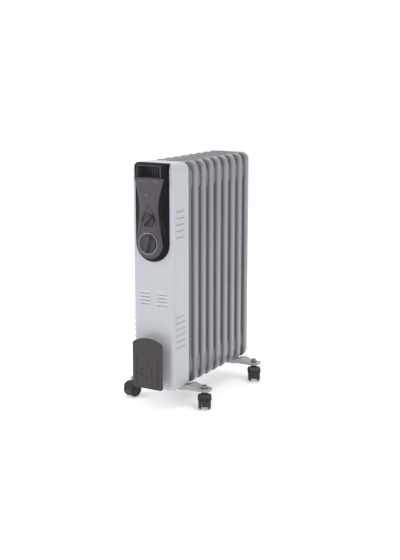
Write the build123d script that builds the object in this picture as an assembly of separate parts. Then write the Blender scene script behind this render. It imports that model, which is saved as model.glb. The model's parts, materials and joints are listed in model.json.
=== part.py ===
"""Oil filled radiator heater: nine pressed steel fins, a front housing with two knobs, and four casters.

Frame: millimetres, +Z up, X across the heater, -Y towards the control panel. The origin is on the
floor, under the middle of the whole heater's box.
"""
import os
from math import cos, radians, sin

from build123d import *

# ---------------------------------------------------------------- overall
BODY_WIDTH = 123.4            # fins and front housing, across X
BODY_HEIGHT = 580.0
BODY_BOTTOM = 50.8            # underside of fins and housing above the floor
BODY_TOP = BODY_BOTTOM + BODY_HEIGHT
BODY_MID = BODY_BOTTOM + BODY_HEIGHT / 2
CORNER_RADIUS = 20.0          # corners of the fin and housing outline

# ---------------------------------------------------------------- fins
FIN_COUNT = 9
FIN_PITCH = 39.67
FIN_FOLD = 20.6               # depth of the folded edge of a fin
FIN_TAPER = 1.4               # the folded edge leans in by this much on each side
FIN_NOSE_RADIUS = 4.5         # rounded edge between a fin's face and its fold
FIN_PLATE = 1.0               # two sheets welded together
FIN_WALL = 0.6
FIRST_FIN_INSET = 1.6         # the first fin is smaller, to go inside the housing
HEADER_INSET = 48.0           # header centre, from the top or bottom of a fin
HEADER_SIZE = (110.0, 88.0)   # across X, along Z
HEADER_CORNER = 36.0
HEADER_RISE = 13.6            # how far a header bulges from the middle of the plate
HEADER_SLOPE = 10.0           # how far its side leans in over that rise
CHANNEL_X = (-39.6, -13.2, 13.2, 39.6)
CHANNEL_WIDTH = 20.0
CHANNEL_RISE = 6.0
NECK_RADIUS = 20.0
NECK_BORE = 16.0

# ---------------------------------------------------------------- heating element
ELEMENT_LEG = 6.0             # each tube leg's distance from the header's centre, in X and in Z
ELEMENT_RADIUS = 3.6
GASKET_THICKNESS = 1.5
FLANGE_THICKNESS = 5.0

# ---------------------------------------------------------------- front housing
HOUSING_DEPTH = 69.7
HOUSING_SHEET = 1.0
HOUSING_EDGE_RADIUS = 13.0    # between the front face and the sides
FIRST_FIN_FROM_FRONT = 59.33  # front of the first fin's plate, behind the housing's front face
BACK_PLATE = 1.0
BACK_PLATE_GAP = 0.6          # between the back plate's edge and the housing
FRONT_LOUVRE_X = (-25.5, 25.5)
FRONT_LOUVRE_Z = [275.5 + 9.2 * row for row in range(4)]
FRONT_LOUVRE_LENGTH = 31.0
SIDE_LOUVRE_GROUPS = ((448.0, 16.2, 5, 38.0), (166.0, 15.9, 6, 44.0))   # first Z, pitch, count, length
SIDE_LOUVRE_Y = 30.0          # middle of a side louvre, behind the front face
LOUVRE_HEIGHT = 4.6
LOUVRE_RISE = 1.5
LOUVRE_SLOT = 1.6
HOUSING_SCREW_X = (-29.0, 29.0)
HOUSING_SCREW_BACK = 30.0     # behind the housing's front face
HOUSING_SCREW_RADIUS = 1.8
SCREW_GAP = 0.2               # round a screw's shank in a clearance hole
TERMINAL_Z = 330.0
CUTOUT_Z = 200.0
WIRE_RADIUS = 1.3

# ---------------------------------------------------------------- controls
PANEL_HALF_WIDTH = 48.5
PANEL_TOP = BODY_TOP + 1.0     # it laps over the housing's top edge
PANEL_BOTTOM = 385.0
PANEL_CORNER = 5.0
PANEL_DEPTH = 15.0
PANEL_LEAN = 4.5              # how far the panel's sides lean in over its depth
PANEL_WALL = 2.5
FASCIA_THICKNESS = 7.0
GRIP_SIZE = (66.0, 28.0)
GRIP_MID = 611.0
GRIP_DEPTH = 34.0
GRIP_WALL = 2.0
SELECTOR_Z = 493.0
SELECTOR_RADIUS = 17.2
SELECTOR_TILT = 45.0          # pointer, clockwise from straight up, as seen from the front
THERMOSTAT_Z = 434.0
THERMOSTAT_RADIUS = 23.3
THERMOSTAT_TILT = 17.0
RING_OUTER = 28.0
RING_INNER = 24.6
RING_THICKNESS = 2.4
KNOB_GAP = 0.4                # between a knob and the fascia
KNOB_DISC = 4.0
KNOB_BAR = 5.4                # how far the finger bar stands out of the knob's disc
SHAFT_RADIUS = 3.0
RUNNING_GAP = 0.06            # radial clearance of a running fit
LENS_X = -3.0
LENS_Z = 555.0
LENS_SIZE = (13.0, 6.0)
LAMP_RADIUS = 2.5
CONTROL_BODY_DEPTH = 24.0
PANEL_SCREW_RADIUS = 1.7
PANEL_SCREWS = ((-36.0, 560.0), (36.0, 560.0), (0.0, 398.0))
BOSS_RADIUS = 4.0

# ---------------------------------------------------------------- cord wrap
WRAP_HALF_WIDTH = 44.0
WRAP_BOTTOM = 62.0
WRAP_SHOULDER = 181.0
WRAP_TOP = 194.0
WRAP_REACH = 33.0             # front of the plate, ahead of the housing's front face
WRAP_THICKNESS = 4.0
CORE_SIZE = (36.0, 62.0)
CORE_MID = 124.0
CORE_WALL = 3.0
WRAP_SCREWS = ((0.0, CORE_MID - 20), (0.0, CORE_MID + 20))
FLOWER_MID = 107.0            # ring of dimples in the plate
FLOWER_RADIUS = 16.0
FLOWER_COUNT = 6
GLAND_X = 0.0
GLAND_BACK = 26.0             # behind the housing's front face
GLAND_BODY_RADIUS = 7.0
GLAND_BORE = 4.0
GLAND_LOW = 45.8
GLAND_HIGH = 60.8

# ---------------------------------------------------------------- legs and casters
LEG_WIDTH = 35.0              # along Y
LEG_SHEET = 2.0
STEM_X = 102.5
LEG_TIP_X = 120.5
LEG_TIP_RADIUS = 12.0
LEG_ROOT_TOP = BODY_BOTTOM - 0.5
LEG_CREST = (67.0, 57.5)      # X and Z of the highest point of the bracket's wing
LEG_SKIRT = 39.5              # lower edge of the side flanges in the middle
LEG_WING_SKIRT = (57.0, 41.7)    # X and Z where the flanges are clear of a turning caster
LEG_TIP_SKIRT = 43.0
PAD_TOP = 48.5
U_BOLT_RADIUS = 2.5
U_BOLT_X = NECK_RADIUS + 0.8 + U_BOLT_RADIUS
U_BOLT_LOW = 33.0
U_BOLT_SHIFT = 3.1            # behind the plane where two necks meet, clear of the fold in front of it
WHEEL_RADIUS = 19.5
WHEEL_WIDTH = 8.0
WHEEL_PLAY = 0.3              # between the web and a wheel
WHEEL_DOME = 4.5              # radius of the outer edge
WEB_WIDTH = 16.0              # caster body between its two wheels
TRAIL = 20.0                  # axle behind the stem
WEB_BOTTOM = 9.0
HOOD_TOP = 41.0
HOOD_OUTER = 21.2
HOOD_GAP = 0.6
HOOD_WINDOW = 16.5            # radius of the opening over each wheel's outer face
HOOD_WIDTH = WEB_WIDTH + 2 * WHEEL_WIDTH + 4.0
HOOD_ROUND = 5.6
HOOD_START, HOOD_END = 28.0, 168.0    # degrees about the axle, from straight ahead over the top
AXLE_RADIUS = 2.5
STEM_RADIUS = 4.0
STEM_LOW = 24.0
STEM_HIGH = 58.5
COLLAR_RADIUS = 7.5
COLLAR_LOW = HOOD_TOP + 0.4
NUT_LOW = PAD_TOP + 1.6
NUT_HEIGHT = 6.4

# ---------------------------------------------------------------- worked out
STACK_REAR = FIRST_FIN_FROM_FRONT + (FIN_COUNT - 1) * FIN_PITCH + FIN_FOLD
FRONT = -(STACK_REAR + WRAP_REACH) / 2 + WRAP_REACH     # Y of the housing's front face
HALF_PITCH = FIN_PITCH / 2
HEADER_LOW = BODY_BOTTOM + HEADER_INSET
HEADER_HIGH = BODY_TOP - HEADER_INSET
FASCIA_FRONT = FRONT - PANEL_DEPTH - FASCIA_THICKNESS
FLANGE_SEAT = FRONT + FIRST_FIN_FROM_FRONT + FIN_PLATE / 2 - HALF_PITCH
BACK_PLATE_REAR = FRONT + FIRST_FIN_FROM_FRONT + FIN_PLATE - FIN_FOLD
HOUSING_SCREW_Y = FRONT + HOUSING_SCREW_BACK
GLAND_Y = FRONT + GLAND_BACK
CONTROL_BODY_FRONT = FRONT + HOUSING_SHEET


def fin_front(index):
    """Y of the front face of a fin's plate; the first fin has index 0."""
    return FRONT + FIRST_FIN_FROM_FRONT + index * FIN_PITCH


def joint_plane(index):
    """Y of the plane where a fin's necks meet the next fin's."""
    return fin_front(index) + FIN_PLATE / 2 + HALF_PITCH


FRONT_LEG_Y = joint_plane(0)
REAR_LEG_Y = joint_plane(FIN_COUNT - 2)
CASTERS = {                   # name: (side in X, Y of the stem, heading of the trail in degrees from +X)
    "front_right": (1, FRONT_LEG_Y, -60.0),
    "front_left": (-1, FRONT_LEG_Y, -104.0),
    "rear_right": (1, REAR_LEG_Y, -60.0),
    "rear_left": (-1, REAR_LEG_Y, -120.0),
}


# ---------------------------------------------------------------- helpers
def section(sketch, y):
    """A sketch drawn in X and Z, laid in the plane at this Y."""
    return Plane.XZ.offset(-y) * sketch


def slab(sketch, y_front, y_rear):
    """A sketch drawn in X and Z, extruded from y_front back to y_rear."""
    return extrude(section(sketch, y_rear), y_rear - y_front)


def tapered(front_sketch, y_front, rear_sketch, y_rear):
    """A straight-sided loft between two sketches drawn in X and Z."""
    return loft([section(front_sketch, y_front), section(rear_sketch, y_rear)], ruled=True)


def rounded(width, height, radius, z_mid, x_mid=0.0):
    """A rounded rectangle drawn in X and Z."""
    return Pos(x_mid, z_mid) * RectangleRounded(width, height, radius)


def rod_y(radius, y_front, y_rear, x, z):
    """A round rod along Y."""
    return slab(Pos(x, z) * Circle(radius), y_front, y_rear)


def rod_z(radius, z_low, z_high, x, y):
    """An upright round rod."""
    return Pos(x, y, (z_low + z_high) / 2) * Cylinder(radius, z_high - z_low)


def edges_at_y(shape, y):
    """The edges that lie wholly in the plane at this Y."""
    return shape.edges().filter_by_position(Axis.Y, y - 0.01, y + 0.01)


def group(solids):
    """Several separate solids kept as one compound."""
    return Compound(children=list(solids))


def save(shape, node):
    """Write one node's STEP file."""
    export_step(shape, f"parts/{node}.step")


# ---------------------------------------------------------------- fins
def oil_form(inset, y_mid, front_neck, rear_neck):
    """The oil space of one fin, or with inset 0 its outside: two headers, channels and necks."""
    width = HEADER_SIZE[0] - 2 * inset
    height = HEADER_SIZE[1] - 2 * inset
    base = RectangleRounded(width, height, HEADER_CORNER - inset)
    crown = RectangleRounded(width - 2 * HEADER_SLOPE, height - 2 * HEADER_SLOPE,
                             HEADER_CORNER - inset - HEADER_SLOPE)
    rise = HEADER_RISE - inset
    form = None
    for z in (HEADER_LOW, HEADER_HIGH):
        ahead = tapered(Pos(0, z) * crown, y_mid - rise, Pos(0, z) * base, y_mid)
        behind = tapered(Pos(0, z) * base, y_mid, Pos(0, z) * crown, y_mid + rise)
        form = ahead + behind if form is None else form + ahead + behind
    flat = 2 * (CHANNEL_RISE - inset)
    for x in CHANNEL_X:
        oval = SlotOverall(CHANNEL_WIDTH - 2 * inset, flat)
        form += Pos(x, y_mid, HEADER_LOW) * extrude(oval, HEADER_HIGH - HEADER_LOW)
    radius = NECK_BORE if inset else NECK_RADIUS
    y_front = y_mid - (HALF_PITCH if front_neck else rise)
    y_rear = y_mid + (HALF_PITCH if rear_neck else rise)
    for z, reach in ((HEADER_LOW, y_front), (HEADER_HIGH, max(y_front, y_mid - HALF_PITCH))):
        form += rod_y(radius, reach, y_rear, 0, z)
    return form


def tray(y_plate, y_open, inset):
    """A fin's plate with its edge folded towards y_open."""
    facing = 1 if y_open > y_plate else -1
    nose_growth = FIN_TAPER * FIN_NOSE_RADIUS / FIN_FOLD    # so that the fold is full width past the nose
    width = BODY_WIDTH - 2 * inset
    height = BODY_HEIGHT - 2 * inset

    def outline(shrink):
        return rounded(width - 2 * shrink, height - 2 * shrink, CORNER_RADIUS - inset - shrink, BODY_MID)

    ends = sorted([(y_plate, outline(-nose_growth)), (y_open, outline(FIN_TAPER))], key=lambda end: end[0])
    outer = tapered(ends[0][1], ends[0][0], ends[1][1], ends[1][0])
    outer = fillet(edges_at_y(outer, y_plate), FIN_NOSE_RADIUS)
    y_floor = y_plate + facing * FIN_PLATE
    ends = sorted([(y_floor, outline(FIN_WALL - nose_growth)), (y_open, outline(FIN_TAPER + FIN_WALL))],
                  key=lambda end: end[0])
    inner = tapered(ends[0][1], ends[0][0], ends[1][1], ends[1][0])
    inner = fillet(edges_at_y(inner, y_floor), FIN_NOSE_RADIUS - FIN_WALL)
    return outer - inner


def make_fin(index):
    """One fin: a folded plate with a hollow header at each end and channels between them."""
    first = index == 0
    last = index == FIN_COUNT - 1
    y_front = fin_front(index)
    y_mid = y_front + FIN_PLATE / 2
    if first:
        plate = tray(y_front + FIN_PLATE, y_front + FIN_PLATE - FIN_FOLD, FIRST_FIN_INSET)
    else:
        plate = tray(y_front, y_front + FIN_FOLD, 0.0)
    outside = oil_form(0.0, y_mid, True, not last)
    inside = oil_form(FIN_WALL, y_mid, True, not last)
    if first:
        # the top header of the first fin is closed in front: only the bottom one takes the element
        blank = rod_y(NECK_RADIUS + 1, y_mid - HALF_PITCH - 1, y_mid - HEADER_RISE, 0, HEADER_HIGH)
        outside -= blank
        inside -= rod_y(NECK_RADIUS + 1, y_mid - HALF_PITCH - 1, y_mid - HEADER_RISE + FIN_WALL, 0,
                        HEADER_HIGH)
    return plate + outside - inside


# ---------------------------------------------------------------- heating element
def make_element_gasket():
    """Flat ring between the first fin's bottom neck and the element's flange."""
    ring = Circle(NECK_RADIUS) - Circle(NECK_BORE)
    return slab(Pos(0, HEADER_LOW) * ring, FLANGE_SEAT - GASKET_THICKNESS, FLANGE_SEAT)


def make_element_flange():
    """Round steel flange that carries the tubes and their four terminals."""
    y_rear = FLANGE_SEAT - GASKET_THICKNESS
    flange = rod_y(NECK_RADIUS + 3, y_rear - FLANGE_THICKNESS, y_rear, 0, HEADER_LOW)
    for x in (-ELEMENT_LEG, ELEMENT_LEG):
        for z in (-ELEMENT_LEG, ELEMENT_LEG):
            flange -= rod_y(ELEMENT_RADIUS, y_rear - 6, y_rear + 1, x, HEADER_LOW + z)
    return flange


def make_element_tubes():
    """Two U-shaped tubes that lie side by side through the bottom header of every fin."""
    y_start = FLANGE_SEAT - 14
    y_bend = fin_front(FIN_COUNT - 1) - 4
    tubes = []
    for x in (-ELEMENT_LEG, ELEMENT_LEG):
        low = HEADER_LOW - ELEMENT_LEG
        high = HEADER_LOW + ELEMENT_LEG
        path = Polyline((x, y_start, low), (x, y_bend, low))
        path += ThreePointArc((x, y_bend, low), (x, y_bend + ELEMENT_LEG, HEADER_LOW), (x, y_bend, high))
        path += Polyline((x, y_bend, high), (x, y_start, high))
        tubes.append(sweep(Plane(origin=(x, y_start, low), z_dir=(0, 1, 0)) * Circle(ELEMENT_RADIUS), path))
    return group(tubes)


# ---------------------------------------------------------------- front housing
def housing_form(inset):
    """The outside of the front housing, or its inside when inset is the sheet's thickness."""
    outline = rounded(BODY_WIDTH - 2 * inset, BODY_HEIGHT - 2 * inset, CORNER_RADIUS - inset, BODY_MID)
    y_front = FRONT + inset
    form = slab(outline, y_front, FRONT + HOUSING_DEPTH)
    return fillet(edges_at_y(form, y_front), HOUSING_EDGE_RADIUS - inset)


def add_louvre(shell, place, length):
    """Press one louvre into the shell: a sloping lip along X that stands out over a slot."""
    profile = make_face(Polyline((0, 0), (0, LOUVRE_HEIGHT), (-LOUVRE_RISE, 0), (0, 0)))
    lip = extrude(Plane(origin=(-length / 2, 0, 0), x_dir=(0, 1, 0), z_dir=(1, 0, 0)) * profile, length)
    slot = Pos(0, 0, -LOUVRE_SLOT / 2) * Box(length - 4, 4 * HOUSING_SHEET, LOUVRE_SLOT)
    return shell + place * lip - place * slot


def make_housing_cover():
    """Pressed steel cover, open at the back."""
    shell = housing_form(0.0) - housing_form(HOUSING_SHEET)
    for x in FRONT_LOUVRE_X:
        for z in FRONT_LOUVRE_Z:
            shell = add_louvre(shell, Pos(x, FRONT, z), FRONT_LOUVRE_LENGTH)
    for z_first, pitch, count, length in SIDE_LOUVRE_GROUPS:
        for row in range(count):
            for side in (-1, 1):
                place = Pos(side * BODY_WIDTH / 2, FRONT + SIDE_LOUVRE_Y, z_first + pitch * row)
                shell = add_louvre(shell, place * Rot(0, 0, side * 90), length)
    grip_hole = rounded(GRIP_SIZE[0] + 2 * GRIP_WALL, GRIP_SIZE[1] + 2 * GRIP_WALL, 4, GRIP_MID)
    shell -= slab(grip_hole, FRONT - 1, FRONT + 20)
    for z in (SELECTOR_Z, THERMOSTAT_Z):
        shell -= rod_y(SHAFT_RADIUS + 2, FRONT - 1, FRONT + 2, 0, z)
    shell -= rod_y(LAMP_RADIUS + 0.5, FRONT - 1, FRONT + 2, LENS_X, LENS_Z)
    for x, z in PANEL_SCREWS + WRAP_SCREWS:
        shell -= rod_y(PANEL_SCREW_RADIUS + SCREW_GAP, FRONT - 1, FRONT + 2, x, z)
    for x in HOUSING_SCREW_X:
        shell -= rod_z(HOUSING_SCREW_RADIUS + SCREW_GAP, BODY_BOTTOM - 1, BODY_BOTTOM + 2, x, HOUSING_SCREW_Y)
    return shell - rod_z(GLAND_BODY_RADIUS, BODY_BOTTOM - 1, BODY_BOTTOM + 2, GLAND_X, GLAND_Y)


def make_back_plate():
    """Sheet between the wiring space and the first fin, with two lips that take the housing's screws."""
    inset = HOUSING_SHEET + BACK_PLATE_GAP
    outline = rounded(BODY_WIDTH - 2 * inset, BODY_HEIGHT - 2 * inset, CORNER_RADIUS - inset, BODY_MID)
    plate = slab(outline, BACK_PLATE_REAR - BACK_PLATE, BACK_PLATE_REAR)
    lip_width, lip_depth = 12.0, 16.0
    lip_low = BODY_BOTTOM + inset
    for x in HOUSING_SCREW_X:
        lip_mid = Pos(x, BACK_PLATE_REAR - lip_depth / 2, lip_low + BACK_PLATE / 2)
        lip = lip_mid * Box(lip_width, lip_depth, BACK_PLATE)
        plate += lip - rod_z(HOUSING_SCREW_RADIUS, lip_low - 1, lip_low + 3, x, HOUSING_SCREW_Y)
    return plate - rod_y(NECK_RADIUS + 5, BACK_PLATE_REAR - 2, BACK_PLATE_REAR + 1, 0, HEADER_LOW)


def make_housing_screws():
    """Two self-tapping screws up through the bottom of the housing."""
    screws = []
    for x in HOUSING_SCREW_X:
        shank = rod_z(HOUSING_SCREW_RADIUS, BODY_BOTTOM, BODY_BOTTOM + 8, x, HOUSING_SCREW_Y)
        head = rod_z(3.8, BODY_BOTTOM - 2.4, BODY_BOTTOM, x, HOUSING_SCREW_Y)
        head = fillet(head.edges().group_by(Axis.Z)[0], 1.2)
        cross = Pos(x, HOUSING_SCREW_Y, BODY_BOTTOM - 2.4)
        head -= cross * Box(4, 0.9, 2) + cross * Box(0.9, 4, 2)
        screws.append(head + shank)
    return group(screws)


# ---------------------------------------------------------------- control panel
def panel_outline(inset):
    """The panel's outline in X and Z: nearly square at the top, fully round at the bottom."""
    half = PANEL_HALF_WIDTH - inset
    top = PANEL_TOP - inset
    round_z = PANEL_BOTTOM + PANEL_HALF_WIDTH
    block = Pos(0, (top + round_z) / 2) * Rectangle(2 * half, top - round_z)
    block = fillet(block.vertices().group_by(Axis.Y)[-1], PANEL_CORNER)
    return block + Pos(0, round_z) * Circle(half)


def make_control_panel():
    """Gloss black moulding whose sides lean in; hollow, with bosses for the screws behind it."""
    y_front = FRONT - PANEL_DEPTH
    body = tapered(panel_outline(PANEL_LEAN), y_front, panel_outline(0.0), FRONT)
    body = fillet(edges_at_y(body, y_front), 2.0)
    body += slab(panel_outline(0.0), FRONT, FRONT + HOUSING_EDGE_RADIUS)
    body -= housing_form(0.0)
    cavity = tapered(panel_outline(PANEL_LEAN + PANEL_WALL), y_front + PANEL_WALL,
                     panel_outline(PANEL_WALL), FRONT)
    bosses = [rod_y(BOSS_RADIUS, y_front, FRONT, x, z) for x, z in PANEL_SCREWS]
    frame = rounded(GRIP_SIZE[0] + 2 * GRIP_WALL + 4, GRIP_SIZE[1] + 2 * GRIP_WALL + 4, 6, GRIP_MID)
    cavity -= slab(frame, y_front, FRONT)
    for boss in bosses:
        cavity -= boss
    body -= cavity
    hole = rounded(GRIP_SIZE[0] + 2 * GRIP_WALL, GRIP_SIZE[1] + 2 * GRIP_WALL, 4, GRIP_MID)
    body -= slab(hole, y_front - 1, FRONT + HOUSING_EDGE_RADIUS + 1)
    for z in (SELECTOR_Z, THERMOSTAT_Z):
        body -= rod_y(SHAFT_RADIUS + 2, y_front - 1, FRONT + 1, 0, z)
    body -= rod_y(LAMP_RADIUS + 0.5, y_front - 1, FRONT + 1, LENS_X, LENS_Z)
    for x, z in PANEL_SCREWS:
        body -= rod_y(PANEL_SCREW_RADIUS, FRONT - 9, FRONT + 1, x, z)
    return body


def fascia_outline():
    """Hourglass in X and Z: wide under the hand grip, narrow in the middle, round at the bottom."""
    top_half, waist_half, round_radius = 41.5, 26.0, 38.0
    top_z, shoulder_z, waist_z = 592.0, 584.0, 522.0
    lean = radians(12)
    side_x = round_radius * cos(lean)
    side_z = THERMOSTAT_Z + round_radius * sin(lean)
    edge = Line((-top_half, top_z), (top_half, top_z))
    edge += Line((top_half, top_z), (top_half, shoulder_z))
    edge += Spline((top_half, shoulder_z), (waist_half, waist_z), (side_x, side_z),
                   tangents=((-0.1, -1), (sin(lean), -cos(lean))))
    edge += ThreePointArc((side_x, side_z), (0, THERMOSTAT_Z - round_radius), (-side_x, side_z))
    edge += Spline((-side_x, side_z), (-waist_half, waist_z), (-top_half, shoulder_z),
                   tangents=((sin(lean), cos(lean)), (-0.1, 1)))
    edge += Line((-top_half, shoulder_z), (-top_half, top_z))
    return make_face(edge)


def make_fascia():
    """Satin moulding on the front of the panel, with the seats for the knobs, ring and lens."""
    fascia = slab(fascia_outline(), FASCIA_FRONT, FASCIA_FRONT + FASCIA_THICKNESS)
    fascia = fillet(edges_at_y(fascia, FASCIA_FRONT), 3.0)
    y_rear = FASCIA_FRONT + FASCIA_THICKNESS
    for z in (SELECTOR_Z, THERMOSTAT_Z):
        fascia -= rod_y(SHAFT_RADIUS + 2, FASCIA_FRONT - 1, y_rear + 1, 0, z)
    lens = Pos(LENS_X, LENS_Z) * SlotOverall(LENS_SIZE[0], LENS_SIZE[1])
    return fascia - slab(lens, FASCIA_FRONT - 1, y_rear + 1)


def make_lens():
    """Small red window in the fascia, flush with its front."""
    lens = Pos(LENS_X, LENS_Z) * SlotOverall(LENS_SIZE[0], LENS_SIZE[1])
    body = slab(lens, FASCIA_FRONT - 0.6, FASCIA_FRONT + 4)
    return fillet(edges_at_y(body, FASCIA_FRONT - 0.6), 0.5)


def make_lamp():
    """Neon lamp behind the lens, in a sleeve through the panel."""
    return rod_y(LAMP_RADIUS, FASCIA_FRONT + 4.5, FRONT + 12, LENS_X, LENS_Z)


def make_grip():
    """Recessed hand grip: a pocket through the panel and the housing, with ribs on its back wall."""
    y_front = FRONT - PANEL_DEPTH - 1.5
    y_rear = y_front + GRIP_DEPTH
    outer = slab(rounded(GRIP_SIZE[0] + 2 * GRIP_WALL, GRIP_SIZE[1] + 2 * GRIP_WALL, 4, GRIP_MID),
                 y_front, y_rear)
    inner = slab(rounded(GRIP_SIZE[0], GRIP_SIZE[1], 2.5, GRIP_MID), y_front - 1, y_rear - GRIP_WALL)
    pocket = outer - inner
    rib_count = 9
    rib_pitch = GRIP_SIZE[0] / (rib_count + 1)
    for rib in range(rib_count):
        x = (rib - (rib_count - 1) / 2) * rib_pitch
        pocket += Pos(x, y_rear - GRIP_WALL - 1, GRIP_MID) * Box(1.6, 2, GRIP_SIZE[1] + 1)
    return pocket


def make_ring():
    """Silver ring round the thermostat knob."""
    ring = slab(Pos(0, THERMOSTAT_Z) * (Circle(RING_OUTER) - Circle(RING_INNER)),
                FASCIA_FRONT - RING_THICKNESS, FASCIA_FRONT)
    return fillet(edges_at_y(ring, FASCIA_FRONT - RING_THICKNESS), 1.2)


def make_knob(z, radius, tilt):
    """Round knob with a finger bar across it and a pointer notch at the bar's upper end."""
    y_rear = FASCIA_FRONT - KNOB_GAP
    y_disc = y_rear - KNOB_DISC
    disc = fillet(edges_at_y(rod_y(radius, y_disc, y_rear, 0, 0), y_disc), 1.2)
    bar_half = radius * 0.86
    bar = slab(rounded(radius * 0.36, 2 * bar_half, 2.5, 0), y_disc - KNOB_BAR, y_disc)
    bar = fillet(edges_at_y(bar, y_disc - KNOB_BAR), 1.6)
    pointer = slab(rounded(1.4, bar_half * 0.4, 0.5, bar_half * 0.66), y_disc - KNOB_BAR - 1,
                   y_disc - KNOB_BAR + 0.8)
    bore = rod_y(SHAFT_RADIUS, y_disc - 1, y_rear + 1, 0, 0)
    knob = disc + bar - pointer - bore
    return Pos(0, 0, z) * Rot(0, tilt, 0) * knob


def make_control_body(z, width, height):
    """Switch or thermostat body fixed behind the housing's front, with the bore for its shaft."""
    y_rear = CONTROL_BODY_FRONT + CONTROL_BODY_DEPTH
    body = slab(rounded(width, height, 2, z), CONTROL_BODY_FRONT, y_rear)
    for x in (-width / 4, width / 4):
        body += Pos(x, y_rear + 3, z - height / 4) * Box(0.8, 6, 6.3)
    bore = rod_y(SHAFT_RADIUS + RUNNING_GAP, CONTROL_BODY_FRONT - 1, y_rear - 6, 0, z)
    return body - bore


def make_shaft(z):
    """Steel shaft from the switch or thermostat out to its knob."""
    y_front = FASCIA_FRONT - KNOB_GAP - KNOB_DISC - 1
    return rod_y(SHAFT_RADIUS, y_front, CONTROL_BODY_FRONT + CONTROL_BODY_DEPTH - 8, 0, z)


def make_panel_screws():
    """Screws from inside the housing into the panel's bosses and the cord wrap's core."""
    screws = []
    for x, z in PANEL_SCREWS + WRAP_SCREWS:
        y_head = FRONT + HOUSING_SHEET
        shank = rod_y(PANEL_SCREW_RADIUS, FRONT - 8, y_head, x, z)
        head = rod_y(3.4, y_head, y_head + 2.2, x, z)
        screws.append(shank + head)
    return group(screws)


# ---------------------------------------------------------------- inside the housing
def make_terminal_block():
    """Three-way terminal block on the back plate."""
    y_rear = BACK_PLATE_REAR - BACK_PLATE
    block = Pos(0, y_rear - 7, TERMINAL_Z) * Box(34, 14, 18)
    for x in (-11, 0, 11):
        block -= rod_z(2.4, TERMINAL_Z - 10, TERMINAL_Z + 10, x, y_rear - 7)
        block -= rod_y(2.0, y_rear - 15, y_rear - 7, x, TERMINAL_Z)
    return block


def make_thermal_cutout():
    """Disc thermostat clamped to the back plate, with two tabs."""
    y_rear = BACK_PLATE_REAR - BACK_PLATE
    body = rod_y(9, y_rear - 4, y_rear, 0, CUTOUT_Z) + rod_y(7, y_rear - 11, y_rear - 4, 0, CUTOUT_Z)
    for x in (-5, 5):
        body += Pos(x, y_rear - 13.5, CUTOUT_Z) * Box(4.8, 6, 0.8)
    return body


def make_wires():
    """Insulated wires: block to switch, switch to thermostat, and block to cut-out and element."""
    y_run = FRONT + 34.5
    wires = []
    routes = (
        ((-11, y_run, TERMINAL_Z + 9.2), (-11, y_run, 395), (-30, y_run, 430), (-30, y_run, 480)),
        ((11, y_run, TERMINAL_Z + 9.2), (11, y_run, 380), (30, y_run, 410), (30, y_run, 455)),
        ((0, FRONT + 22, TERMINAL_Z - 12), (0, FRONT + 22, 265), (22, FRONT + 22, 235), (22, FRONT + 22, 170),
         (12, FRONT + 18, 130)),
    )
    for route in routes:
        path = FilletPolyline(*route, radius=12)
        start = Vector(*route[0])
        heading = Vector(*route[1]) - start
        end = Plane(origin=start, z_dir=heading) * Circle(WIRE_RADIUS)
        wires.append(sweep(end, path, transition=Transition.ROUND))
    return group(wires)


# ---------------------------------------------------------------- cord wrap and gland
def make_wrap_core():
    """Hollow oval core that holds the plate off the housing; the cord is wound round it."""
    y_front = FRONT - WRAP_REACH + WRAP_THICKNESS
    outline = Rot(0, 0, 90) * SlotOverall(CORE_SIZE[1], CORE_SIZE[0])
    hollow = Rot(0, 0, 90) * SlotOverall(CORE_SIZE[1] - 2 * CORE_WALL, CORE_SIZE[0] - 2 * CORE_WALL)
    core = slab(Pos(0, CORE_MID) * outline, y_front, FRONT)
    core -= slab(Pos(0, CORE_MID) * hollow, y_front + CORE_WALL, FRONT + 1)
    for x, z in WRAP_SCREWS:
        core += rod_y(BOSS_RADIUS, y_front + 1, FRONT, x, z)
        core -= rod_y(PANEL_SCREW_RADIUS, FRONT - 9, FRONT + 1, x, z)
    return core


def wrap_outline(inset):
    """The plate's outline in X and Z: straight sides under an arched top."""
    half = WRAP_HALF_WIDTH - inset
    low = WRAP_BOTTOM + inset
    edge = Polyline((-half, WRAP_SHOULDER), (-half, low), (half, low), (half, WRAP_SHOULDER))
    edge += ThreePointArc((half, WRAP_SHOULDER), (0, WRAP_TOP - inset), (-half, WRAP_SHOULDER))
    outline = make_face(edge)
    return fillet(outline.vertices(), 6)


def make_wrap_plate():
    """Cord-wrap plate with two grooves and a ring of six dimples."""
    y_front = FRONT - WRAP_REACH
    plate = slab(wrap_outline(0.0), y_front, y_front + WRAP_THICKNESS)
    plate = fillet(edges_at_y(plate, y_front), 1.8)
    for x in (-31, 31):
        groove = rounded(1.2, 78, 0.5, 108, x)
        plate -= slab(groove, y_front - 1, y_front + 0.8)
    for dot in range(FLOWER_COUNT):
        angle = radians(90 + dot * 360 / FLOWER_COUNT)
        x = FLOWER_RADIUS * cos(angle)
        z = FLOWER_MID + FLOWER_RADIUS * sin(angle)
        plate -= rod_y(2.6, y_front - 1, y_front + 1.5, x, z)
    return plate


def make_gland():
    """Rubber gland in the bottom of the housing, for the mains cord."""
    gland = rod_z(GLAND_BODY_RADIUS, GLAND_LOW, GLAND_HIGH, GLAND_X, GLAND_Y)
    gland += rod_z(9, BODY_BOTTOM - 3, BODY_BOTTOM, GLAND_X, GLAND_Y)
    gland += rod_z(9, BODY_BOTTOM + HOUSING_SHEET, BODY_BOTTOM + HOUSING_SHEET + 3, GLAND_X, GLAND_Y)
    return gland - rod_z(GLAND_BORE, GLAND_LOW - 1, GLAND_HIGH + 1, GLAND_X, GLAND_Y)


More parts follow.
